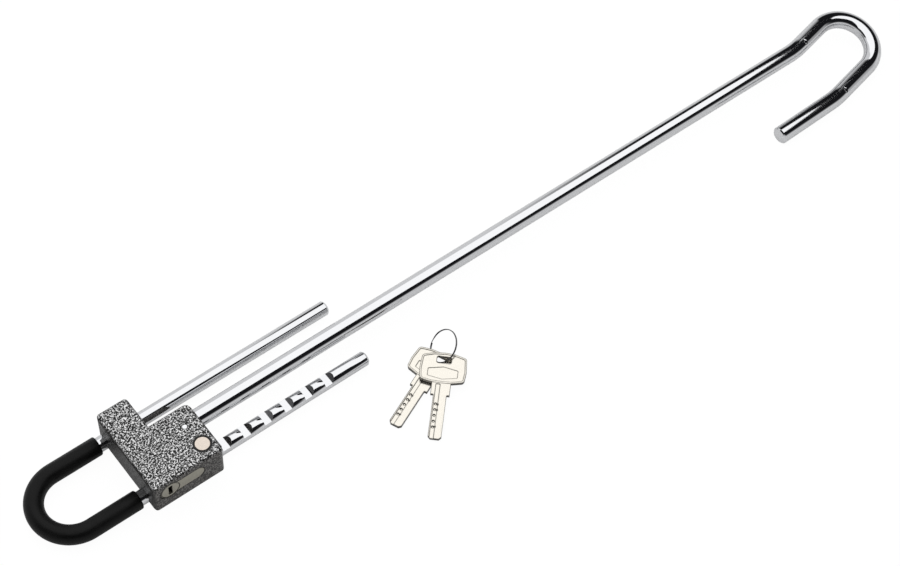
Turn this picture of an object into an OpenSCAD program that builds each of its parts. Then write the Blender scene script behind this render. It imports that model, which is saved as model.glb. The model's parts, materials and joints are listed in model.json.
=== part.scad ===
// Hooked U-shackle padlock. Units are millimetres, +Z is up and the lock lies on its base.
// X runs along the rod towards the hook, Y runs from the keyway side to the plain leg.

/* [Lock body] */
// Length of the main block along the rod
body_length = 50; // [49:0.5:54]
// Width over the main block and the wing
body_width = 64.5; // [64:0.5:68]
// Height of the casting
body_height = 26; // [26:0.5:28]
// Width of the main block without the wing
block_width = 39.8; // [39.8:0.2:42]
// Length of the wing that carries the plain leg
wing_length = 22; // [20:0.5:30]
// Rounding of the upper and lower edges
edge_radius = 2; // [1:0.5:2.5]

/* [Shackle] */
// Diameter of the shackle bar
bar_diameter = 9.6; // [9.4:0.1:9.6]
// Distance from the lock body to the start of the bend
bend_distance = 37.5; // [30:0.5:60]
// Length of the plain leg beyond the left face
plain_leg_length = 164; // [120:1:180]
// Length of the notched leg beyond the left face
notched_leg_length = 162.5; // [145:0.5:180]
// Number of locking notches
notch_count = 7; // [3:1:7]
// Distance between two notches
notch_pitch = 15.2; // [14:0.1:16]
// Depth of the notches
notch_depth = 2.5; // [2.4:0.1:2.6]
// Outer diameter of the plastic sleeve
sleeve_diameter = 12.4; // [11.6:0.2:12.4]
// Bare bar between the sleeve and the lock body
sleeve_gap = 5; // [3:0.5:12]

/* [Hook rod] */
// Diameter of the rod
rod_diameter = 12; // [11:0.5:12]
// Straight length of the rod measured from the left face
rod_straight = 537; // [300:0.5:600]
// Radius of the hook's bend at its centre line
hook_radius = 21.5; // [19:0.5:24]
// Outward set of the rod before the bend, in degrees
hook_set = 11.5; // [8:0.5:15]
// Straight length of the hook's free end
hook_end_length = 48; // [30:1:90]

/* [Lock cylinder] */
// Radius of the plug
plug_radius = 4.7; // [4.6:0.05:4.7]
// Number of pin stacks
pin_count = 5; // [3:1:5]
// Travel of the push button
button_travel = 2.6; // [2:0.1:2.6]

/* [Keys] */
// Width of a key's bow
bow_width = 29.5; // [24:0.5:30]
// Wire diameter of the key ring
ring_wire = 1.3; // [1:0.1:1.4]

/* [View] */
// Part to draw

/* [Hidden] */
$fn = 96;
eps = 0.01;
// The frame's origin, on the base under the notched leg
origin_x = 25;
origin_y = 12;
// Legs of the shackle
leg_r = bar_diameter / 2;
leg_z = 6.2;
leg_bore_r = leg_r + 0.1;
notched_y = 11.2;
plain_y = 56.2;
bend_r = (plain_y - notched_y) / 2;
bend_y = (plain_y + notched_y) / 2;
notch_length = 5;
ramp_length = 2.8;
first_notch = 38;
// Hook rod, its seat and the angle at which the hook lies on the ground
rod_r = rod_diameter / 2;
rod_y = 32.2;
rod_z = 15;
rod_inner_x = 36;
groove_x = 39.2;
groove_r = 4.6;
pin_r = 1.4;
pin_y = rod_y - groove_r - pin_r;
hook_tilt = 11.3;
hook_run_out = 22;
hook_run_back = 31;
hook_back_set = 10;
set_radius = 60;
// Rings over the rod's joins, and the gap that they bridge
collar_length = 1.2;
collar_rise = 0.05;
trim = 0.3;
// Lock cylinder: its axis runs along Y
plug_x = 11.2;
plug_z = 16.6;
face_r = 7;
barrel_r = 5.9;
stem_w = 10;
stem_x = 30.2;
floor_z = 11.55;
barrel_y = 29;
stem_y = 24.5;
face_y = 4.2;
flange_r = 6.2;
keyway_w = 2.4;
keyway_h = 8.6;
stack_y0 = 5;
stack_pitch = 4.2;
chamber_r = 1.15;
stack_r = 1.1;
chamber_end_x = 31.9;
lug_y = 30.8;
lug_t = 1.4;
// Push button and bolt
button_x = 41.3;
button_y = 10.4;
button_r = 4.85;
button_bore_r = 4.95;
ring_r = 6;
bolt_r = 3.8;
tongue_x = 40.5;
tongue_w = 4.4;
bolt_bottom = leg_z + leg_r + 0.15;
ledge_z = 13.6;
head_z = 20.6;
// Latch bar
bar_x = 40;
bar_w = 2.4;
bar_low = 4.6;
bar_h = 3;
bar_y = 17.5;
bar_t = 1.7;
cover_t = 1.5;
cover_screw_at = [[6.8, 22], [40, 30.5]];
// Keys
key_t = 2.2;
bow_t = 2.6;
key_length = 54.6;

function after_run(p, a, l) = [p[0] + l * cos(a), p[1] + l * sin(a)];
function bend_centre(p, a, r, t) = [p[0] - sign(t) * r * sin(a), p[1] + sign(t) * r * cos(a)];
function after_bend(p, a, r, t) = [
    bend_centre(p, a, r, t)[0] + sign(t) * r * sin(a + t),
    bend_centre(p, a, r, t)[1] - sign(t) * r * cos(a + t)];

// A straight bar in the XY plane from p in direction a
module run(p, a, l, r) {
    translate([p[0], p[1], 0]) rotate([0, 0, a]) rotate([0, 90, 0]) cylinder(r = r, h = l);
}

// A bent bar in the XY plane from p in direction a, turning by t degrees
module bend(p, a, radius, t, r) {
    c = bend_centre(p, a, radius, t);
    translate([c[0], c[1], 0]) rotate([0, 0, t > 0 ? a - 90 : a + 90 + t])
        rotate_extrude(angle = abs(t)) translate([radius, 0]) circle(r = r);
}

// A bar end with a chamfer, along +X from the origin
module chamfered_end(r, l, c) {
    rotate([0, 90, 0]) cylinder(r = r, h = l - c);
    translate([l - c, 0, 0]) rotate([0, 90, 0]) cylinder(r1 = r, r2 = r - c, h = c);
}

// A rectangle from a to b with rounded corners: c holds the radii, anticlockwise from the low corner
module soft_rectangle(a, b, c) {
    q = [[a[0] + c[0], a[1] + c[0]], [b[0] - c[1], a[1] + c[1]],
         [b[0] - c[2], b[1] - c[2]], [a[0] + c[3], b[1] - c[3]]];
    difference() {
        translate(a) square([b[0] - a[0], b[1] - a[1]]);
        translate(a) square(c[0]);
        translate([b[0] - c[1], a[1]]) square(c[1]);
        translate([b[0] - c[2], b[1] - c[2]]) square(c[2]);
        translate([a[0], b[1] - c[3]]) square(c[3]);
    }
    for (i = [0 : 3]) translate(q[i]) circle(r = c[i]);
}

// A block with rounded upright corners and rounded upper and lower edges
module soft_block(a, b, h, c, e) {
    intersection() {
        linear_extrude(h) soft_rectangle(a, b, c);
        translate([0, b[1] + 1, 0]) rotate([90, 0, 0]) linear_extrude(b[1] - a[1] + 2)
            soft_rectangle([a[0], 0], [b[0], h], [e, e, e, e]);
        translate([a[0] - 1, 0, 0]) rotate([90, 0, 90]) linear_extrude(b[0] - a[0] + 2)
            soft_rectangle([a[1], 0], [b[1], h], [e, e, e, e]);
    }
}

// Outline of the cylinder: a disc of radius r with a stem of width w, seen along Y
module cylinder_outline(r, w) {
    circle(r = r);
    translate([0, -w / 2]) square([stem_x - plug_x, w]);
    translate([stem_x - plug_x, 0]) circle(r = w / 2);
}

// Lays an outline drawn about the cylinder's axis in the XZ plane and gives it depth along Y
module along_y(y0, y1) {
    translate([plug_x, y1, plug_z]) rotate([90, 0, 0]) linear_extrude(y1 - y0) children();
}

// A round bar along Y
module y_bar(x, z, y0, y1, r) {
    translate([x, y0, z]) rotate([-90, 0, 0]) cylinder(r = r, h = y1 - y0);
}

// A round bar along X
module x_bar(y, z, x0, x1, r) {
    translate([x0, y, z]) rotate([0, 90, 0]) cylinder(r = r, h = x1 - x0);
}

// A coil about Z made from one round wire: its level section is a bent, stretched disc
module coil(r, wire, h, turns) {
    reach = wire * PI * turns / h * 180 / PI;
    linear_extrude(height = h, twist = -360 * turns, slices = turns * 12, $fn = 6)
        polygon([for (t = [0 : 36 : 324]) let (a = reach * cos(t), q = r + wire / 2 * sin(t))
            [q * cos(a), q * sin(a)]]);
}

module lock_body() {
    color("dimgray") difference() {
        union() {
            soft_block([0, 0], [body_length, block_width], body_height, [4, 4, 6, 4], edge_radius);
            soft_block([0, 0], [wing_length, body_width], body_height, [4, 4, 4, 4], edge_radius);
        }
        // Bores for the two legs
        x_bar(notched_y, leg_z, -1, body_length + 1, leg_bore_r);
        x_bar(plain_y, leg_z, -1, wing_length + 1, leg_bore_r);
        // Seat of the hook rod and the hole for its pin
        x_bar(rod_y, rod_z, rod_inner_x - 0.4, body_length + 1, rod_r + 0.05);
        translate([groove_x, pin_y, 10]) cylinder(r = pin_r, h = body_height);
        // Pocket for the lock cylinder
        along_y(-1, 1.2) cylinder_outline(face_r + 0.4, stem_w + 0.8);
        along_y(-1, face_y + 0.1) cylinder_outline(face_r + 0.12, stem_w + 0.2);
        intersection() {
            along_y(-1, stem_y + 0.1) cylinder_outline(barrel_r + 0.1, stem_w + 0.2);
            translate([0, -1, floor_z - 0.05]) cube([body_length, 60, 30]);
        }
        intersection() {
            y_bar(plug_x, plug_z, -1, barrel_y + 1, barrel_r + 0.1);
            translate([0, -1, floor_z - 0.05]) cube([body_length, 60, 30]);
        }
        // Room for the cam behind the cylinder
        translate([4.6, barrel_y + 0.1, cover_t]) cube([13.8, 4.8, 21.8]);
        // Button bore, the hole for the bolt and the seat of the ring
        translate([button_x, button_y, ledge_z]) cylinder(r = button_bore_r, h = 20);
        translate([button_x, button_y, leg_z + 2]) cylinder(r = bolt_r + 0.1, h = 11);
        translate([button_x, button_y, body_height - 2.4]) cylinder(r = ring_r, h = 5);
        // Room for the latch bar, open towards the cover
        translate([bar_x - 0.4, 12, leg_z + 2.2]) cube([bar_w + 0.8, 7.6, ledge_z - leg_z - 2.3]);
        translate([bar_x - 0.4, bar_y - 0.3, cover_t]) cube([bar_w + 0.8, bar_t + 0.6, 11.8]);
        translate([11.5, bar_y - 0.3, cover_t]) cube([31.3, bar_t + 0.6, 6.9]);
        translate([11.5, bar_y - 0.3, cover_t]) cube([6.9, 16.8, 6.9]);
        // Recess for the cover, its screws and the cylinder's screw
        translate([4, 17.1, -1]) cube([42, 18.8, cover_t + 1]);
        for (p = cover_screw_at) translate([p[0], p[1], -1]) cylinder(r = 1.25, h = 8);
        translate([28, 22.5, -1]) cylinder(r = 1.5, h = 14);
        translate([28, 22.5, -1]) cylinder(r = 2.8, h = 4.8);
    }
}

module bottom_cover() {
    color("gray") difference() {
        translate([4.1, 17.2, 0.02]) cube([41.8, 18.6, cover_t - 0.04]);
        for (p = cover_screw_at) {
            translate([p[0], p[1], -1]) cylinder(r = 1.35, h = 5);
            translate([p[0], p[1], -eps]) cylinder(r1 = 2.4, r2 = 1.3, h = 1.1);
        }
    }
}

module cover_screws() {
    color("silver") for (p = cover_screw_at) translate([p[0], p[1], 0.02]) difference() {
        union() {
            cylinder(r1 = 2.3, r2 = 1.25, h = 1.05);
            cylinder(r = 1.25, h = 6.5);
        }
        translate([-1.6, -0.25, -1]) cube([3.2, 0.5, 1.5]);
        translate([-0.25, -1.6, -1]) cube([0.5, 3.2, 1.5]);
    }
}

// One notch: an upright wall towards the bend, a flat and a ramp towards the leg's end
module notch(x) {
    floor_level = leg_z + leg_r - notch_depth;
    translate([x, notched_y + 6, 0]) rotate([90, 0, 0]) linear_extrude(12)
        polygon([[0, floor_level], [notch_length, floor_level],
            [notch_length + ramp_length, leg_z + leg_r + eps],
            [notch_length + ramp_length, leg_z + leg_r + 1], [0, leg_z + leg_r + 1]]);
}

module shackle() {
    color("gainsboro") difference() {
        union() {
            translate([-bend_distance, notched_y, leg_z])
                chamfered_end(leg_r, bend_distance + notched_leg_length, 1.2);
            translate([-bend_distance, plain_y, leg_z])
                chamfered_end(leg_r, bend_distance + plain_leg_length, 1.2);
            translate([-bend_distance, bend_y, leg_z]) rotate([0, 0, 90])
                rotate_extrude(angle = 180) translate([bend_r, 0]) circle(r = leg_r);
        }
        for (i = [0 : notch_count - 1]) notch(first_notch + i * notch_pitch);
    }
}

module shackle_sleeve() {
    length = bend_distance - sleeve_gap;
    color("black") difference() {
        translate([0, 0, leg_z]) union() {
            for (y = [notched_y, plain_y]) translate([-bend_distance, y, 0])
                rotate([0, 90, 0]) cylinder(r = sleeve_diameter / 2, h = length);
            translate([-bend_distance, bend_y, 0]) rotate([0, 0, 90])
                rotate_extrude(angle = 180) translate([bend_r, 0]) circle(r = sleeve_diameter / 2);
        }
        translate([0, 0, leg_z]) union() {
            for (y = [notched_y, plain_y]) translate([-bend_distance, y, 0])
                rotate([0, 90, 0]) cylinder(r = leg_r + 0.02, h = length + 1);
            translate([-bend_distance, bend_y, 0]) rotate([0, 0, 90])
                rotate_extrude(angle = 180) translate([bend_r, 0]) circle(r = leg_r + 0.02);
        }
    }
}

// A ring that joins two lengths of the rod, half a millimetre to either side of p
module rod_collar(p, a) {
    run(after_run(p, a, -collar_length / 2), a, collar_length, rod_r + collar_rise);
}

module hook_rod() {
    // The bar's corners: two ends of the outward set, of the hook's bend and of the back set
    p1 = [rod_straight, 0];
    p2 = after_bend(p1, 0, set_radius, hook_set);
    p3 = after_run(p2, hook_set, hook_run_out);
    p4 = after_bend(p3, hook_set, hook_radius, -180);
    back = hook_set - 180;
    p5 = after_run(p4, back, hook_run_back);
    p6 = after_bend(p5, back, set_radius, -hook_back_set);
    last = back - hook_back_set;
    color("silver") difference() {
        translate([0, rod_y, rod_z]) rotate([hook_tilt, 0, 0]) union() {
            run([rod_inner_x, 0], 0, rod_straight - rod_inner_x - trim, rod_r);
            bend(p1, 0, set_radius, hook_set, rod_r);
            run(after_run(p2, hook_set, trim), hook_set, hook_run_out - 2 * trim, rod_r);
            bend(p3, hook_set, hook_radius, -180, rod_r);
            run(after_run(p4, back, trim), back, hook_run_back - 2 * trim, rod_r);
            bend(p5, back, set_radius, -hook_back_set, rod_r);
            translate([p6[0], p6[1], 0]) rotate([0, 0, last])
                translate([trim, 0, 0]) chamfered_end(rod_r, hook_end_length - trim, 0.8);
            rod_collar(p1, 0);
            rod_collar(p2, hook_set);
            rod_collar(p3, hook_set);
            rod_collar(p4, back);
            rod_collar(p5, back);
            rod_collar(p6, last);
        }
        // Groove for the retaining pin
        translate([groove_x - pin_r - 0.1, rod_y, rod_z]) rotate([0, 90, 0]) difference() {
            cylinder(r = rod_r + 1, h = 2 * pin_r + 0.2);
            cylinder(r = groove_r - 0.05, h = 2 * pin_r + 0.2);
        }
    }
}

module rod_retaining_pin() {
    color("white") translate([groove_x, pin_y, 10]) cylinder(r = pin_r, h = body_height - 10);
}

module cylinder_housing() {
    color("gray") difference() {
        union() {
            along_y(0, face_y) cylinder_outline(face_r, stem_w);
            intersection() {
                union() {
                    along_y(0, stem_y) cylinder_outline(barrel_r, stem_w);
                    y_bar(plug_x, plug_z, 0, barrel_y, barrel_r);
                }
                translate([0, -1, floor_z]) cube([body_length, 60, 30]);
            }
        }
        y_bar(plug_x, plug_z, -1, barrel_y + 1, plug_radius + 0.05);
        y_bar(plug_x, plug_z, -1, 1.6, flange_r + 0.2);
        for (i = [0 : pin_count - 1])
            x_bar(stack_y0 + i * stack_pitch, plug_z, plug_x, chamber_end_x, chamber_r);
        translate([chamber_end_x - 0.1, 3, plug_z - 2.2]) cube([1.3, stem_y, 4.4]);
        translate([28, 22.5, 5]) cylinder(r = 1.5, h = 9);
    }
}

module cylinder_plug() {
    color("darkgray") difference() {
        union() {
            y_bar(plug_x, plug_z, 0.1, 1.55, flange_r);
            y_bar(plug_x, plug_z, 1, barrel_y + 0.1, plug_radius);
            y_bar(plug_x, plug_z, barrel_y, barrel_y + 0.9, 3.2);
            translate([plug_x - 1.7, barrel_y, plug_z - 1.7]) cube([3.4, lug_y + lug_t - barrel_y, 3.4]);
        }
        translate([plug_x - keyway_w / 2, -1, plug_z - keyway_h / 2])
            cube([keyway_w, barrel_y, keyway_h]);
        for (i = [0 : pin_count - 1])
            x_bar(stack_y0 + i * stack_pitch, plug_z, plug_x, plug_x + plug_radius + 1, chamber_r);
        // Groove for the clip
        translate([plug_x, barrel_y + 0.2, plug_z]) rotate([-90, 0, 0]) difference() {
            cylinder(r = 4, h = 0.6);
            cylinder(r = 2.6, h = 0.6);
        }
        y_bar(plug_x, plug_z, barrel_y + 0.5, barrel_y + 9, 0.9);
    }
}

// Pins of different lengths, shown with their ends at the shear line
module key_pins() {
    color("gold") for (i = [0 : pin_count - 1]) {
        length = 3 + 0.35 * ((i * 2) % 3);
        x1 = plug_x + sqrt(plug_radius * plug_radius - stack_r * stack_r) - 0.02;
        x_bar(stack_y0 + i * stack_pitch, plug_z, x1 - length + 0.8, x1, stack_r);
        translate([x1 - length, stack_y0 + i * stack_pitch, plug_z]) rotate([0, 90, 0])
            cylinder(r1 = 0.4, r2 = stack_r, h = 0.8 + eps);
    }
}

module driver_pins() {
    color("silver") for (i = [0 : pin_count - 1])
        x_bar(stack_y0 + i * stack_pitch, plug_z, plug_x + plug_radius + 0.12, plug_x + 9, stack_r);
}

module pin_springs() {
    length = chamber_end_x - plug_x - 9.1;
    color("silver") for (i = [0 : pin_count - 1])
        translate([plug_x + 9.05, stack_y0 + i * stack_pitch, plug_z]) rotate([0, 90, 0])
            coil(0.8, 0.3, length, 6);
}

module chamber_strip() {
    color("gold") translate([chamber_end_x, 3.1, plug_z - 2.1]) cube([1.1, stem_y - 3.2, 4.2]);
}

module plug_clip() {
    color("dimgray") translate([plug_x, barrel_y + 0.25, plug_z]) rotate([-90, 0, 0])
        linear_extrude(0.5) difference() {
            circle(r = 5.4);
            circle(r = 2.65);
            translate([-2.2, 0]) square([4.4, 6]);
        }
}

module cam_lug() {
    color("silver") difference() {
        union() {
            y_bar(plug_x, plug_z, lug_y, lug_y + lug_t, 3.4);
            translate([plug_x - 1.5, lug_y, plug_z - 5.3]) cube([3, lug_t, 5.3]);
        }
        translate([plug_x - 1.72, lug_y - 1, plug_z - 1.72]) cube([3.44, 4, 3.44]);
    }
}

module cam_screw() {
    color("silver") difference() {
        union() {
            y_bar(plug_x, plug_z, lug_y + lug_t, lug_y + lug_t + 0.9, 2.6);
            y_bar(plug_x, plug_z, barrel_y + 0.6, lug_y + lug_t + 0.1, 0.9);
        }
        translate([plug_x - 3, lug_y + lug_t + 0.5, plug_z - 0.25]) cube([6, 1, 0.5]);
    }
}

module cylinder_screw() {
    color("silver") difference() {
        union() {
            translate([28, 22.5, 1.7]) cylinder(r = 2.6, h = 2.1);
            translate([28, 22.5, 1.7]) cylinder(r = 1.48, h = 12);
        }
        translate([27, 21.5, 1]) cube([2, 2, 1.9]);
    }
}

module push_button() {
    color("linen") translate([button_x, button_y, 0]) {
        difference() {
            union() {
                translate([0, 0, head_z]) cylinder(r = button_r, h = body_height - head_z - 0.2);
                translate([0, 0, body_height - 0.2]) cylinder(r1 = button_r, r2 = button_r - 0.4, h = 0.4);
            }
            translate([0, 0, head_z - 1]) cylinder(r = 2, h = 4);
        }
    }
}

module button_ring() {
    color("black") translate([button_x, button_y, body_height - 2.4]) difference() {
        cylinder(r = ring_r, h = 2.45);
        translate([0, 0, -1]) cylinder(r = button_bore_r, h = 5);
    }
}

module latch_bolt() {
    color("silver") difference() {
        union() {
            intersection() {
                translate([button_x, button_y, bolt_bottom]) cylinder(r = bolt_r, h = 3);
                translate([tongue_x - tongue_w / 2, 0, 0]) cube([tongue_w, 30, 30]);
            }
            translate([button_x, button_y, ledge_z]) cylinder(r = bolt_r, h = head_z - ledge_z);
            translate([button_x, button_y, head_z - 1]) cylinder(r = 2, h = 3.9);
        }
        translate([bar_x - eps, button_y - 1, 11.4]) cube([bar_w + 2 * eps, 10, 2]);
    }
}

module button_spring() {
    color("silver") translate([button_x, button_y, ledge_z + 0.05])
        coil(4.35, 0.55, head_z - ledge_z - 0.1, 4);
}

module latch_bar() {
    color("silver") difference() {
        union() {
            translate([bar_x, button_y - 0.98, 11.42]) cube([bar_w, bar_y + bar_t - button_y + 0.98, 1.96]);
            translate([bar_x, bar_y, bar_low]) cube([bar_w, bar_t, 8.78]);
            translate([12.4, bar_y, bar_low]) cube([bar_x + bar_w - 12.4, bar_t, bar_h]);
            translate([12.4, bar_y, bar_low]) cube([4, 14.9, bar_h]);
        }
        translate([15.2, 31.5, 0]) cylinder(r = 0.6, h = 20);
    }
}

module latch_finger() {
    color("slategray") difference() {
        translate([0, 30.6, 0]) union() {
            translate([13.9, 0, bar_low + bar_h]) cube([2.4, 1.8, 0.5]);
            translate([13.9, 0, bar_low + bar_h]) cube([0.5, 1.8, 5.8]);
            translate([0, 1.8, 0]) rotate([90, 0, 0]) linear_extrude(1.8)
                polygon([[14, 12], [12.85, 13], [12.85, 13.4], [14, 13.4]]);
        }
        translate([15.2, 31.5, 0]) cylinder(r = 0.6, h = 20);
    }
}

module finger_rivet() {
    color("silver") translate([15.2, 31.5, 0]) {
        translate([0, 0, bar_low]) cylinder(r = 0.58, h = bar_h + 0.6);
        translate([0, 0, bar_low + bar_h + 0.5]) cylinder(r = 0.75, h = 0.4);
    }
}

// Outline of a key's bow, drawn in by an inset
module bow_outline(inset) {
    half = bow_width / 2 - 2.4;
    hull() for (p = [[-1.6, 0], [-1.1, half / 2], [0.5, half - 0.6], [8, half], [13.1, half - 0.6],
                     [14.3, half / 2], [14.5, 0]], m = [1, -1])
        translate([p[0], m * p[1]]) circle(r = 2.4 - inset, $fn = 32);
}

// A key about its ring hole, with its tip towards +X and its face upwards
module key_blank() {
    top = (bow_t + key_t) / 2;
    difference() {
        union() {
            linear_extrude(bow_t) bow_outline(0);
            translate([14, -6, (bow_t - key_t) / 2]) cube([11, 12, key_t]);
            translate([20, -4.2, (bow_t - key_t) / 2]) linear_extrude(key_t)
                polygon([[0, 0], [key_length - 21.5, 0], [key_length - 20, 1.5],
                    [key_length - 20, 6.9], [key_length - 21.5, 8.4], [0, 8.4]]);
        }
        // Sunk faces inside the raised rim, and the blank panel
        translate([0, 0, bow_t - 0.3]) linear_extrude(1) bow_outline(1.1);
        translate([0, 0, -0.7]) linear_extrude(1) bow_outline(1.1);
        translate([9.9, 0, bow_t - 0.6]) linear_extrude(1)
            polygon([[-2.4, -9.4], [2.5, -9.4], [4.2, 0], [2.5, 9.4], [-2.4, 9.4], [-4.2, 0]]);
        // Ring hole
        translate([0, 0, -1]) linear_extrude(6) soft_rectangle([-1.4, -4.6], [3.2, 4.6], [1, 1, 1, 1]);
        // Channel of the blade, its dimples and the bites in the channel's side
        translate([17.6, -3.3, top - 0.35]) cube([key_length, 2.7, 2]);
        for (i = [0 : 4]) translate([31.2 + i * 3.9, -1.95, top - 0.95])
            cylinder(r1 = 0.5, r2 = 1.15, h = 0.8);
        for (x = [31.6, 35.4, 46.6]) translate([x, -0.6, top - 0.7]) cylinder(r = 0.5, h = 2);
    }
}

module front_key() {
    color("gainsboro") translate([201, -19.2, 5.95]) rotate([0, 0, 226.1]) rotate([0, 6, 0])
        key_blank();
}

module rear_key() {
    color("gainsboro") translate([199.7, -14.8, 1.9]) rotate([0, 0, 203.1]) rotate([0, 1.95, 0])
        key_blank();
}

module key_ring() {
    color("dimgray") translate([205.98, -11.59, 8.12]) rotate([0, 44.53, 156.01])
        rotate_extrude() translate([10.6, 0]) circle(r = ring_wire / 2);
}

// Moves a part so that the frame's origin lies on the base
module placed() {
    translate([-origin_x, -origin_y, 0]) children();
}

placed() lock_body();
placed() bottom_cover();
placed() cover_screws();
placed() shackle();
placed() shackle_sleeve();
placed() hook_rod();
placed() rod_retaining_pin();
placed() cylinder_housing();
placed() cylinder_plug();
placed() key_pins();
placed() driver_pins();
placed() pin_springs();
placed() chamber_strip();
placed() plug_clip();
placed() cam_lug();
placed() cam_screw();
placed() cylinder_screw();
placed() push_button();
placed() button_ring();
placed() latch_bolt();
placed() button_spring();
placed() latch_bar();
placed() latch_finger();
placed() finger_rivet();
placed() key_ring();
placed() front_key();
placed() rear_key();
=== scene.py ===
"""Looks of the hooked padlock: smooth bars, a split ring, enamel, chrome, soft plastic and a pale studio.

Lengths are in metres in the part's own frame. +X runs along the rod towards the hook, +Y towards the
plain leg of the shackle and +Z up.
"""
import json
import math

import bpy
from mathutils import Matrix, Vector


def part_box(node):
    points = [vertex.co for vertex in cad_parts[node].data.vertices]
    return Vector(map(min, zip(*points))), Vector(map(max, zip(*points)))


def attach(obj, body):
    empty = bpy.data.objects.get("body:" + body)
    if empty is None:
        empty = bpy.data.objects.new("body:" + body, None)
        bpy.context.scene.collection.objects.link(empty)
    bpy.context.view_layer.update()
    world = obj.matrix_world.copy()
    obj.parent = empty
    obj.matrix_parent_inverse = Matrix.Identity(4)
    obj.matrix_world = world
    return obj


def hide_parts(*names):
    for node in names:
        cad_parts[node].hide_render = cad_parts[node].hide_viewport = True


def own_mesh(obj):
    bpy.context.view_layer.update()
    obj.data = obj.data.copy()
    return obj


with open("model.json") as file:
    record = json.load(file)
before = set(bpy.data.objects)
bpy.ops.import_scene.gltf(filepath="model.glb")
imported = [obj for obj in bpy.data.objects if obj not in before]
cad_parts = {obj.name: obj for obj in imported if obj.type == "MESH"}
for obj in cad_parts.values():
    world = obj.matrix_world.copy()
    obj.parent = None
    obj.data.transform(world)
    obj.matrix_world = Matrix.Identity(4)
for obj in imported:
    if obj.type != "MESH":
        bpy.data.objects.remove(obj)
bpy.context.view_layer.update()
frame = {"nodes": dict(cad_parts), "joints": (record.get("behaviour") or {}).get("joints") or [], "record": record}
record = frame["record"]
nodes = frame["nodes"]

MM = 0.001


# ---------------------------------------------------------------- facts from the record and the frame

def joint(name):
    return next(j for j in frame["joints"] if j["name"] == name)


def mount(name):
    return next(m for m in record["mounts"] if m["name"] == name)


rod_axis = Vector(joint("hook_swivel")["pos_m"])
hook_end = mount("hook_end")
rod_r = hook_end["dims"]["r_mm"] * MM
rod_low, rod_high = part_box("hook_rod")


# ---------------------------------------------------------------- node materials

class Paint:
    """A node material under construction, with short calls that add a node and link its inputs."""

    def __init__(self, name):
        self.material = bpy.data.materials.new(name)
        self.material.use_nodes = True
        self.tree = self.material.node_tree
        self.tree.nodes.clear()
        self.output = self.tree.nodes.new("ShaderNodeOutputMaterial")
        self.shader = self.tree.nodes.new("ShaderNodeBsdfPrincipled")
        self.tree.links.new(self.shader.outputs[0], self.output.inputs[0])

    def put(self, socket, value):
        """Gives an input a value, or links it to another node's output."""
        if isinstance(value, bpy.types.NodeSocket):
            self.tree.links.new(value, socket)
        else:
            socket.default_value = value

    def add(self, kind, out=0, settings=None, **inputs):
        """Adds a node and returns one output. An input is named, or is _ and its number."""
        node = self.tree.nodes.new("ShaderNode" + kind)
        for key, value in (settings or {}).items():
            setattr(node, key, value)
        for key, value in inputs.items():
            self.put(node.inputs[int(key[1:])] if key[1:].isdigit() else node.inputs[key], value)
        return node.outputs[out]

    def surface(self, **inputs):
        for key, value in inputs.items():
            self.put(self.shader.inputs[key.replace("_", " ")], value)

    def where(self):
        """The place on the object, in metres."""
        return self.add("TexCoord", "Object")

    def stretched(self, vector, scale):
        return self.add("Mapping", Vector=vector, Scale=scale)

    def noise(self, vector, scale, detail=2.0, rough=0.5, distort=0.0, out="Fac"):
        return self.add("TexNoise", out, Vector=vector, Scale=scale, Detail=detail,
                        Roughness=rough, Distortion=distort)

    def math(self, how, a, b=0.0, c=0.0):
        return self.add("Math", 0, {"operation": how}, _0=a, _1=b, _2=c)

    def ramp(self, value, low, high, to_low=0.0, to_high=1.0):
        """Carries value smoothly from the span low..high to the span to_low..to_high."""
        node = self.tree.nodes.new("ShaderNodeMapRange")
        node.interpolation_type = "SMOOTHSTEP"
        for i, v in enumerate((value, low, high, to_low, to_high)):
            self.put(node.inputs[i], v)
        return node.outputs[0]

    def mix(self, share, a, b):
        node = self.tree.nodes.new("ShaderNodeMix")
        node.data_type = "RGBA"
        for i, v in ((0, share), (6, a), (7, b)):
            self.put(node.inputs[i], v)
        return node.outputs[2]

    def bump(self, height, strength, distance):
        node = self.tree.nodes.new("ShaderNodeBump")
        for key, v in (("Height", height), ("Strength", strength), ("Distance", distance)):
            self.put(node.inputs[key], v)
        self.tree.links.new(node.outputs[0], self.shader.inputs["Normal"])


def grey(level, warm=0.0):
    """An opaque grey, turned a little towards red by warm."""
    return (level * (1 + warm), level, level * (1 - warm), 1.0)


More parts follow.
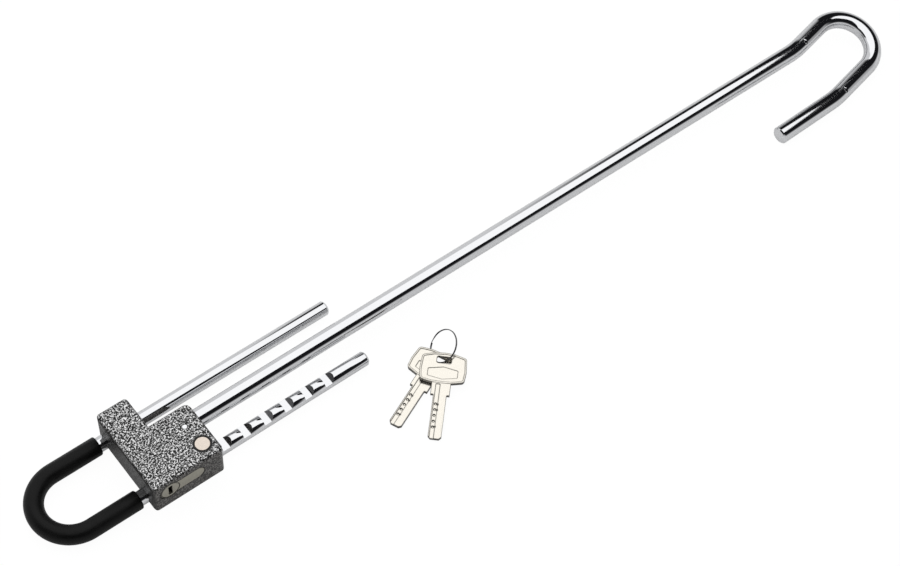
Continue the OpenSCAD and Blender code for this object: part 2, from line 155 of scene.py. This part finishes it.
def hammered_enamel():
    """Hammer finish: silver blotches that flow together, in a dark net, over a cast surface.

    Upright faces are painted darker than level ones as painted shade, with their own shaded copies of the silver
    and the net, and the face on the shackle's side is painted near black as a painted shadow.
    """
    p = Paint("hammered_enamel")
    at = p.where()
    bend = p.noise(at, 420.0, 1.0, 0.5, out="Color")
    moved = p.add("VectorMath", 0, {"operation": "MULTIPLY_ADD"}, _0=bend, _1=(0.0011,) * 3, _2=at)
    blotch = p.noise(moved, 980.0, 1.2, 0.5, 0.5)
    share = p.ramp(blotch, 0.47, 0.58)
    normal = p.add("NewGeometry", "Normal")
    normal_z = p.add("SeparateXYZ", 2, Vector=normal)
    normal_x = p.add("SeparateXYZ", 0, Vector=normal)
    # Painted light: level faces get the bright blotches, upright faces a shaded copy of them.
    painted_lit_share = p.ramp(p.math("ABSOLUTE", normal_z), 0.35, 0.97)
    # Painted shadow: faces turned towards -X, the shackle's side, are darkened to near black.
    painted_shadow_share = p.ramp(normal_x, -0.95, -0.4, 0.12, 1.0)
    cloud = p.noise(at, 90.0, 2.0)
    fine = p.noise(at, 2600.0, 2.0)
    bright = p.mix(cloud, grey(0.6), grey(0.95))
    silver = p.mix(p.ramp(fine, 0.35, 0.62), grey(0.24), bright)
    # A darker copy of the silver, used as painted shade on upright faces.
    shaded_side_silver = p.mix(p.ramp(fine, 0.35, 0.65), grey(0.06, 0.04), grey(0.26, 0.04))
    light = p.mix(painted_lit_share, shaded_side_silver, silver)
    # The dark net is painted a little lighter on upright faces, as painted light.
    dark = p.mix(painted_lit_share, grey(0.028, 0.06), grey(0.004))
    colour = p.mix(share, dark, light)
    p.surface(Base_Color=p.mix(painted_shadow_share, grey(0.006), colour), Metallic=p.ramp(share, 0, 1, 0.2, 0.8),
              Roughness=p.ramp(blotch, 0.4, 0.62, 0.5, 0.34), Specular_IOR_Level=0.3)
    p.bump(share, 0.45, 0.0001)
    return p.material


def chromed_steel():
    """Bright chromium plate over a polished bar, with faint draw lines along X."""
    p = Paint("chromed_steel")
    at = p.where()
    lines = p.noise(p.stretched(at, (30.0, 900.0, 900.0)), 1.0, 3.0, 0.6)
    haze = p.noise(at, 35.0, 3.0, 0.6)
    colour = p.mix(haze, (0.585, 0.59, 0.605, 1), (0.625, 0.63, 0.64, 1))
    p.surface(Base_Color=colour, Metallic=1.0, Roughness=p.ramp(lines, 0.3, 0.75, 0.035, 0.085))
    p.bump(lines, 0.02, 0.00003)
    return p.material


def sleeve_plastic():
    """Satin black vinyl with a faint moulded grain."""
    p = Paint("sleeve_plastic")
    at = p.where()
    grain = p.noise(at, 2600.0, 3.0, 0.6)
    swell = p.noise(at, 120.0, 2.0, 0.5)
    p.surface(Base_Color=p.mix(swell, grey(0.003), grey(0.007)), Metallic=0.0,
              Roughness=p.ramp(swell, 0.3, 0.7, 0.36, 0.46), Specular_IOR_Level=0.12)
    p.bump(p.math("ADD", p.math("MULTIPLY", swell, 2.0), grain), 0.12, 0.00006)
    return p.material


def metal(name, colour, rough, stretch=(1, 1, 1), scale=900.0, bump=0.08, tint=0.85, flank=1.0, line=0.0):
    """A plated or machined metal whose tool marks follow the stretch. rough is its span of roughness.

    tint is its darkest stain, and flank the share of the colour that its upright faces keep as painted shade. line
    is the width of the dark line painted as shade along its edges and in its corners.
    """
    p = Paint(name)
    at = p.where()
    marks = p.noise(p.stretched(at, stretch), scale, 3.0, 0.6)
    stain = p.noise(at, 150.0, 3.0, 0.6)
    light = (*colour, 1.0)
    dark = (*(c * tint for c in colour), 1.0)
    body = p.mix(stain, dark, light)
    if flank < 1.0:
        # Painted shade: upright faces are darkened to flank times the colour.
        height = p.add("SeparateXYZ", 2, Vector=p.add("NewGeometry", "Normal"))
        level = p.ramp(p.math("ABSOLUTE", height), 0.55, 0.97)
        body = p.mix(level, (*(c * flank for c in colour), 1.0), body)
    if line > 0.0:
        # Painted shade: a dark line in corners and recesses and along edges, found by ambient occlusion.
        corner = p.add("AmbientOcclusion", 1, {"samples": 8}, Distance=line)
        edge = p.add("AmbientOcclusion", 1, {"samples": 8, "inside": True}, Distance=line)
        painted_shade_line = p.ramp(p.math("MINIMUM", corner, edge), 0.62, 0.94)
        body = p.mix(painted_shade_line, (*(c * 0.1 for c in colour), 1.0), body)
    p.surface(Base_Color=body, Metallic=1.0, Roughness=p.ramp(marks, 0.25, 0.75, *rough))
    p.bump(marks, bump, 0.00005)
    return p.material


def turned(name, colour, centre, pitch, rough):
    """A lathe-turned metal with rings about the upright line through centre."""
    p = Paint(name)
    at = p.add("VectorMath", 0, {"operation": "SUBTRACT"}, _0=p.where(), _1=tuple(centre))
    across = p.add("VectorMath", 0, {"operation": "MULTIPLY"}, _0=at, _1=(1.0, 1.0, 0.0))
    radius = p.add("VectorMath", 1, {"operation": "LENGTH"}, _0=across)
    wobble = p.noise(p.where(), 400.0, 2.0)
    rings = p.math("SINE", p.math("ADD", p.math("MULTIPLY", radius, 2 * math.pi / pitch),
                                  p.math("MULTIPLY", wobble, 5.0)))
    light = (*colour, 1.0)
    dark = (*(c * 0.88 for c in colour), 1.0)
    p.surface(Base_Color=p.mix(wobble, dark, light), Metallic=1.0, Roughness=p.ramp(rings, -1, 1, *rough))
    p.bump(rings, 0.06, 0.00002)
    return p.material


def black_trim():
    """Dull black plastic."""
    p = Paint("black_trim")
    at = p.where()
    grain = p.noise(at, 1800.0, 3.0, 0.6)
    p.surface(Base_Color=p.mix(grain, grey(0.006), grey(0.014)),
              Roughness=p.ramp(grain, 0.3, 0.7, 0.4, 0.55), Specular_IOR_Level=0.3)
    p.bump(grain, 0.1, 0.00005)
    return p.material


button_low, button_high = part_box("push_button")
button_centre = (button_low + button_high) / 2
MATERIALS = {
    "hammered_enamel": hammered_enamel(),
    "chromed_steel": chromed_steel(),
    "sleeve_plastic": sleeve_plastic(),
    # line paints a dark shade line along the cylinder face's edges and corners.
    "cylinder_metal": metal("cylinder_metal", (0.37, 0.355, 0.30), (0.32, 0.5), stretch=(1, 1, 0.12),
                            scale=1500.0, bump=0.12, line=0.5 * MM),
    "button_nickel": turned("button_nickel", (0.58, 0.515, 0.455), button_centre, 0.25 * MM, (0.2, 0.34)),
    "black_trim": black_trim(),
    "brass": metal("brass", (0.76, 0.56, 0.26), (0.2, 0.35), stretch=(1, 0.1, 0.1), scale=1800.0),
    "spring_steel": metal("spring_steel", (0.12, 0.12, 0.125), (0.2, 0.35), scale=2500.0),
    "zinc_steel": metal("zinc_steel", (0.72, 0.73, 0.74), (0.22, 0.4), scale=1200.0),
    # flank and line paint shade on the keys' upright faces and along their edges and corners.
    "key_nickel": metal("key_nickel", (0.66, 0.63, 0.57), (0.12, 0.22), scale=1400.0, bump=0.03, tint=0.95,
                        flank=0.12, line=0.7 * MM),
}


def dress(obj, material):
    """Gives an object one material."""
    obj.data.materials.clear()
    obj.data.materials.append(material)


for part in record["subparts"]:
    dress(nodes[part["node"]], MATERIALS[part["material_slot"]])


# ---------------------------------------------------------------- new pieces

def mesh_object(name, verts, faces):
    """A smooth-shaded mesh object whose edges of more than 30 degrees stay crisp."""
    mesh = bpy.data.meshes.new(name)
    mesh.from_pydata(verts, [], faces)
    mesh.polygons.foreach_set("use_smooth", [True] * len(mesh.polygons))
    mesh.set_sharp_from_angle(angle=math.radians(30))
    mesh.update()
    obj = bpy.data.objects.new(name, mesh)
    bpy.context.scene.collection.objects.link(obj)
    return obj


def stand_for(obj, node, body, slot):
    """Puts a new piece in the place of a CAD node, on its body and in its material."""
    dress(obj, MATERIALS[slot])
    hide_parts(node)
    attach(obj, body)


def swept_tube(name, line, radius_at, sides, up):
    """A round bar along line, a list of (point, direction, distance), closed by a fan at both ends.

    radius_at(distance, angle) is its radius. The bar's angle 0 is on the side of up.
    """
    verts, faces = [], []
    for point, direction, distance in line:
        side = up.cross(direction).normalized()
        top = direction.cross(side)
        for k in range(sides):
            a = 2 * math.pi * k / sides
            spoke = top * math.cos(a) + side * math.sin(a)
            verts.append(point + spoke * radius_at(distance, a))
    last = (len(line) - 1) * sides
    for i in range(len(line) - 1):
        for k in range(sides):
            a, n = i * sides + k, i * sides + (k + 1) % sides
            faces.append((a, n, n + sides, a + sides))
    for first, point, flip in ((0, line[0][0], True), (last, line[-1][0], False)):
        centre = len(verts)
        verts.append(point)
        for k in range(sides):
            a, n = first + k, first + (k + 1) % sides
            faces.append((n, a, centre) if flip else (a, n, centre))
    return mesh_object(name, verts, faces)


def smooth_step(x, low, high):
    """Rises smoothly from 0 at low to 1 at high."""
    t = min(1.0, max(0.0, (x - low) / (high - low)))
    return t * t * (3 - 2 * t)


class BarLine:
    """The centre line of a bent bar in its own plane, kept in marks as (x, y, angle, distance)."""

    def __init__(self, x):
        self.x, self.y, self.angle, self.distance = x, 0.0, 0.0, 0.0
        self.marks = []
        self.note()

    def note(self):
        self.marks.append((self.x, self.y, self.angle, self.distance))

    def run(self, length, step):
        """Goes straight on. Returns the distance so far."""
        count = max(1, round(length / step))
        for _ in range(count):
            self.x += length / count * math.cos(self.angle)
            self.y += length / count * math.sin(self.angle)
            self.distance += length / count
            self.note()
        return self.distance

    def bend(self, radius, turn):
        """Goes round an arc, to the left where turn is positive. Returns the distance so far."""
        count = max(2, round(abs(turn) * radius / (1.2 * MM)))
        way = math.copysign(1.0, turn)
        cx = self.x - way * radius * math.sin(self.angle)
        cy = self.y + way * radius * math.cos(self.angle)
        for _ in range(count):
            self.angle += turn / count
            self.x = cx + way * radius * math.sin(self.angle)
            self.y = cy - way * radius * math.cos(self.angle)
            self.distance += abs(turn) * radius / count
            self.note()
        return self.distance


def hook_bar():
    """The long rod with its pin groove, set, hook, back set and chamfered end, as one smooth bar.

    Its sizes repeat those of the CAD rod. The press that bent the hook left a flat on each arm, with a
    nick where the flat starts.
    """
    end_axis = Vector(hook_end["axis"])
    tilt = math.atan(end_axis.z / end_axis.y)
    set_angle, back_angle = math.radians(11.5), math.radians(10)
    set_radius, hook_radius = 60 * MM, 21.5 * MM
    run_out, run_back, free_end = 22 * MM, 31 * MM, 48 * MM
    chamfer = 0.8 * MM
    groove_x, groove_half, groove_r = 14.2 * MM, 1.45 * MM, 4.6 * MM
    lip = 0.05 * MM
    mark_inset = 1.5 * MM
    reach = (set_radius + hook_radius) * math.sin(set_angle) + run_out * math.cos(set_angle)
    straight_end = rod_high.x - rod_r - hook_radius - reach

    bar = BarLine(rod_low.x)
    start = rod_low.x
    for x in (groove_x - groove_half - lip, groove_x - groove_half, groove_x + groove_half,
              groove_x + groove_half + lip):
        bar.run(x - start, 1.0)
        start = x
    bar.run(straight_end - start, 8 * MM)
    bar.bend(set_radius, set_angle)
    near_mark = bar.distance + mark_inset
    bar.run(run_out, 0.5 * MM)
    bend_start = bar.distance
    bend_end = bar.bend(hook_radius, -math.pi)
    bar.run(run_back, 0.5 * MM)
    far_mark = bar.distance - mark_inset
    bar.bend(set_radius, -back_angle)
    bar.run(free_end - chamfer, 4 * MM)
    chamfer_start = bar.distance
    bar.run(chamfer, chamfer)

    groove_from = groove_x - groove_half - rod_low.x - lip / 2
    groove_to = groove_x + groove_half - rod_low.x + lip / 2
    flat_depth, flat_fade, flat_turn = 0.14 * MM, 26 * MM, math.radians(36)
    nick_depth, nick_length, nick_turn = 0.55 * MM, 0.9 * MM, 0.32

    def radius_at(distance, angle):
        if groove_from < distance < groove_to:
            return groove_r
        if distance > chamfer_start + chamfer / 2:
            return rod_r - chamfer
        radius = rod_r
        turn = (angle + math.pi) % (2 * math.pi) - math.pi
        near = smooth_step(distance, near_mark, near_mark + 1.0 * MM)
        near *= 1 - smooth_step(distance, bend_start, bend_start + flat_fade)
        far = smooth_step(-distance, -far_mark, -far_mark + 1.0 * MM)
        far *= smooth_step(distance, bend_end - flat_fade, bend_end)
        for share, middle, mark in ((near, -flat_turn, near_mark), (far, flat_turn, far_mark)):
            off = math.cos(turn - middle)
            if off > 0.3 and share > 0:
                radius = min(radius, (rod_r - share * flat_depth) / off)
            away = math.hypot((distance - mark) / nick_length, (turn - 0.55 * middle) / nick_turn)
            radius -= nick_depth * (1 - smooth_step(away, 0.3, 1.0))
        return radius

    def place(x, y):
        return Vector((x, rod_axis.y + y * math.cos(tilt), rod_axis.z + y * math.sin(tilt)))

    across = Vector((0, math.cos(tilt), math.sin(tilt)))
    line = [(place(x, y), Vector((1, 0, 0)) * math.cos(a) + across * math.sin(a), d)
            for x, y, a, d in bar.marks]
    obj = swept_tube("hook_bar", line, radius_at, 64, Vector((0, -math.sin(tilt), math.cos(tilt))))
    stand_for(obj, "hook_rod", "hook", "chromed_steel")


def split_ring():
    """A ring of thin wire wound twice, whose two ends stand side by side. It lies as the CAD ring does."""
    low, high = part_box("key_ring")
    centre = (low + high) / 2
    lean, heading = math.radians(44.53), math.radians(156.01)
    turn = Matrix.Rotation(heading, 3, "Z") @ Matrix.Rotation(lean, 3, "Y")
    radius, wire, offset_each = 10.45 * MM, 0.3 * MM, 0.29 * MM
    end_rise = 0.25 * MM
    start, gap_turn = math.radians(318), math.radians(14)
    sweep = 4 * math.pi - gap_turn
    steps = 170
    line = []
    for i in range(steps + 1):
        a = sweep * i / steps
        offset = offset_each * (2 * smooth_step(a, 2 * math.pi - 0.5, 2 * math.pi + 0.1) - 1)
        spread = end_rise * (smooth_step(a, 0, 0.5) - smooth_step(a, sweep - 0.5, sweep))
        spoke = Vector((math.cos(start + a), math.sin(start + a), 0))
        along = Vector((-math.sin(start + a), math.cos(start + a), 0))
        point = spoke * (radius + spread) + Vector((0, 0, offset))
        line.append((centre + turn @ point, turn @ along, a))
    obj = swept_tube("split_ring", line, lambda d, a: wire, 12, turn @ Vector((0, 0, 1)))
    stand_for(obj, "key_ring", "ring", "spring_steel")


def button_coil():
    """The spring under the button. It moves with the button as one piece."""
    low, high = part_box("button_spring")
    centre = (low + high) / 2
    wire, turns, steps = 0.26 * MM, 4, 144
    radius = (high.x - low.x) / 2 - wire
    rise = high.z - low.z - 2 * wire
    line = []
    for i in range(steps + 1):
        a = 2 * math.pi * turns * i / steps
        point = Vector((centre.x + radius * math.cos(a), centre.y + radius * math.sin(a),
                        low.z + wire + rise * i / steps))
        along = Vector((-math.sin(a), math.cos(a), rise / (2 * math.pi * turns * radius)))
        line.append((point, along.normalized(), a))
    obj = swept_tube("button_coil", line, lambda d, a: wire, 10, Vector((0, 0, 1)))
    stand_for(obj, "button_spring", "button", "spring_steel")
    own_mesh(obj)


def rounded(node, width):
    """Rounds the edges of more than 35 degrees on a CAD piece."""
    obj = nodes[node]
    weld = obj.modifiers.new("weld", "WELD")
    weld.merge_threshold = 0.002 * MM
    bevel = obj.modifiers.new("bevel", "BEVEL")
    bevel.width = width
    bevel.segments = 2
    bevel.limit_method = "ANGLE"
    bevel.angle_limit = math.radians(35)
    bevel.harden_normals = True


hook_bar()
split_ring()
button_coil()
for node, width in (("shackle", 0.35 * MM), ("shackle_sleeve", 0.8 * MM), ("front_key", 0.25 * MM),
                    ("rear_key", 0.25 * MM), ("push_button", 0.3 * MM)):
    rounded(node, width)


# ---------------------------------------------------------------- studio

def pale_floor():
    """White paper. The camera sees it bleached, and the chrome sees it with its soft shadows."""
    p = Paint("floor")
    cloud = p.noise(p.where(), 3.0, 2.0)
    seen = p.add("LightPath", "Is Camera Ray")
    p.surface(Base_Color=p.mix(seen, p.mix(cloud, grey(0.76), grey(0.79)), grey(0.06)), Roughness=0.8,
              Specular_IOR_Level=0.0, Emission_Color=p.mix(cloud, grey(0.99), grey(1.0)),
              Emission_Strength=p.math("MULTIPLY_ADD", seen, 0.73, 0.24))
    return p.material


def floor():
    """A wide sheet just under the lock."""
    half, level = 6.0, -0.2 * MM
    corners = [(-half, -half, level), (half, -half, level), (half, half, level), (-half, half, level)]
    obj = mesh_object("floor", corners, [(0, 1, 2, 3)])
    dress(obj, pale_floor())


def studio_world():
    """A white room with a dark stretch above and behind the camera."""
    world = bpy.data.worlds.new("studio")
    world.use_nodes = True
    tree = world.node_tree
    tree.nodes.clear()

    def add(kind, **settings):
        node = tree.nodes.new("ShaderNode" + kind)
        for key, value in settings.items():
            setattr(node, key, value)
        return node

    def span(value, low, high):
        node = add("MapRange", interpolation_type="SMOOTHSTEP")
        tree.links.new(value, node.inputs[0])
        node.inputs[1].default_value, node.inputs[2].default_value = low, high
        return node.outputs[0]

    def product(a, b):
        node = add("Math", operation="MULTIPLY")
        tree.links.new(a, node.inputs[0])
        tree.links.new(b, node.inputs[1])
        return node.outputs[0]

    place = add("TexCoord")
    parts = add("SeparateXYZ")
    tree.links.new(place.outputs["Generated"], parts.inputs[0])
    high = span(parts.outputs[2], 0.05, 0.42)
    near = span(parts.outputs[1], 0.55, 0.40)
    right = span(parts.outputs[0], 0.38, 0.46)
    either = add("Math", operation="MAXIMUM")
    tree.links.new(near, either.inputs[0])
    tree.links.new(right, either.inputs[1])
    dark = product(high, either.outputs[0])
    mix = add("Mix", data_type="RGBA")
    tree.links.new(dark, mix.inputs[0])
    mix.inputs[6].default_value = (0.93, 0.93, 0.935, 1)
    mix.inputs[7].default_value = (0.012, 0.012, 0.014, 1)
    back = add("Background")
    tree.links.new(mix.outputs[2], back.inputs[0])
    out = add("OutputWorld")
    tree.links.new(back.outputs[0], out.inputs[0])
    bpy.context.scene.world = world


def softbox():
    """A bright sheet hung over the lock. Its edge towards the camera runs a little askew."""
    height = 0.9
    outline = [(-0.5, -0.34), (0.45, -0.40), (0.72, -0.60), (0.86, -0.53), (1.05, -0.50),
               (1.05, 0.60), (0.90, 0.64), (0.77, 0.83), (0.63, 1.14), (-0.5, 1.2)]
    corners = [(x, y, height) for x, y in outline]
    obj = mesh_object("softbox", corners, [tuple(reversed(range(len(corners))))])
    p = Paint("softbox")
    cloud = p.noise(p.where(), 2.0, 1.0)
    p.surface(Base_Color=grey(0.0), Roughness=1.0, Specular_IOR_Level=0.0,
              Emission_Color=p.mix(cloud, grey(0.98), grey(1.0)), Emission_Strength=1.55)
    dress(obj, p.material)
    obj.visible_camera = False


def camera():
    """Looks down on the lock from its keyway side, as one would at a lock on a table."""
    data = bpy.data.cameras.new("camera")
    data.lens = 85.2
    data.sensor_width = 36.0
    data.shift_x, data.shift_y = 0.016, -0.0037
    data.clip_start, data.clip_end = 0.05, 50.0
    obj = bpy.data.objects.new("camera", data)
    bpy.context.scene.collection.objects.link(obj)
    azimuth, elevation, roll = (math.radians(x) for x in (40.24, 56.55, 3.55))
    ahead = Vector((math.sin(azimuth) * math.cos(elevation), math.cos(azimuth) * math.cos(elevation),
                    -math.sin(elevation)))
    right = Vector((math.cos(azimuth), -math.sin(azimuth), 0))
    over = right.cross(ahead)
    rolled_right = right * math.cos(roll) + over * math.sin(roll)
    rolled_over = over * math.cos(roll) - right * math.sin(roll)
    facing = Matrix((rolled_right, rolled_over, -ahead)).transposed()
    obj.matrix_world = Matrix.Translation((-0.2767, -0.5528, 1.1416)) @ facing.to_4x4()
    bpy.context.scene.camera = obj


floor()
studio_world()
softbox()
camera()
bpy.context.scene.view_settings.view_transform = "Standard"
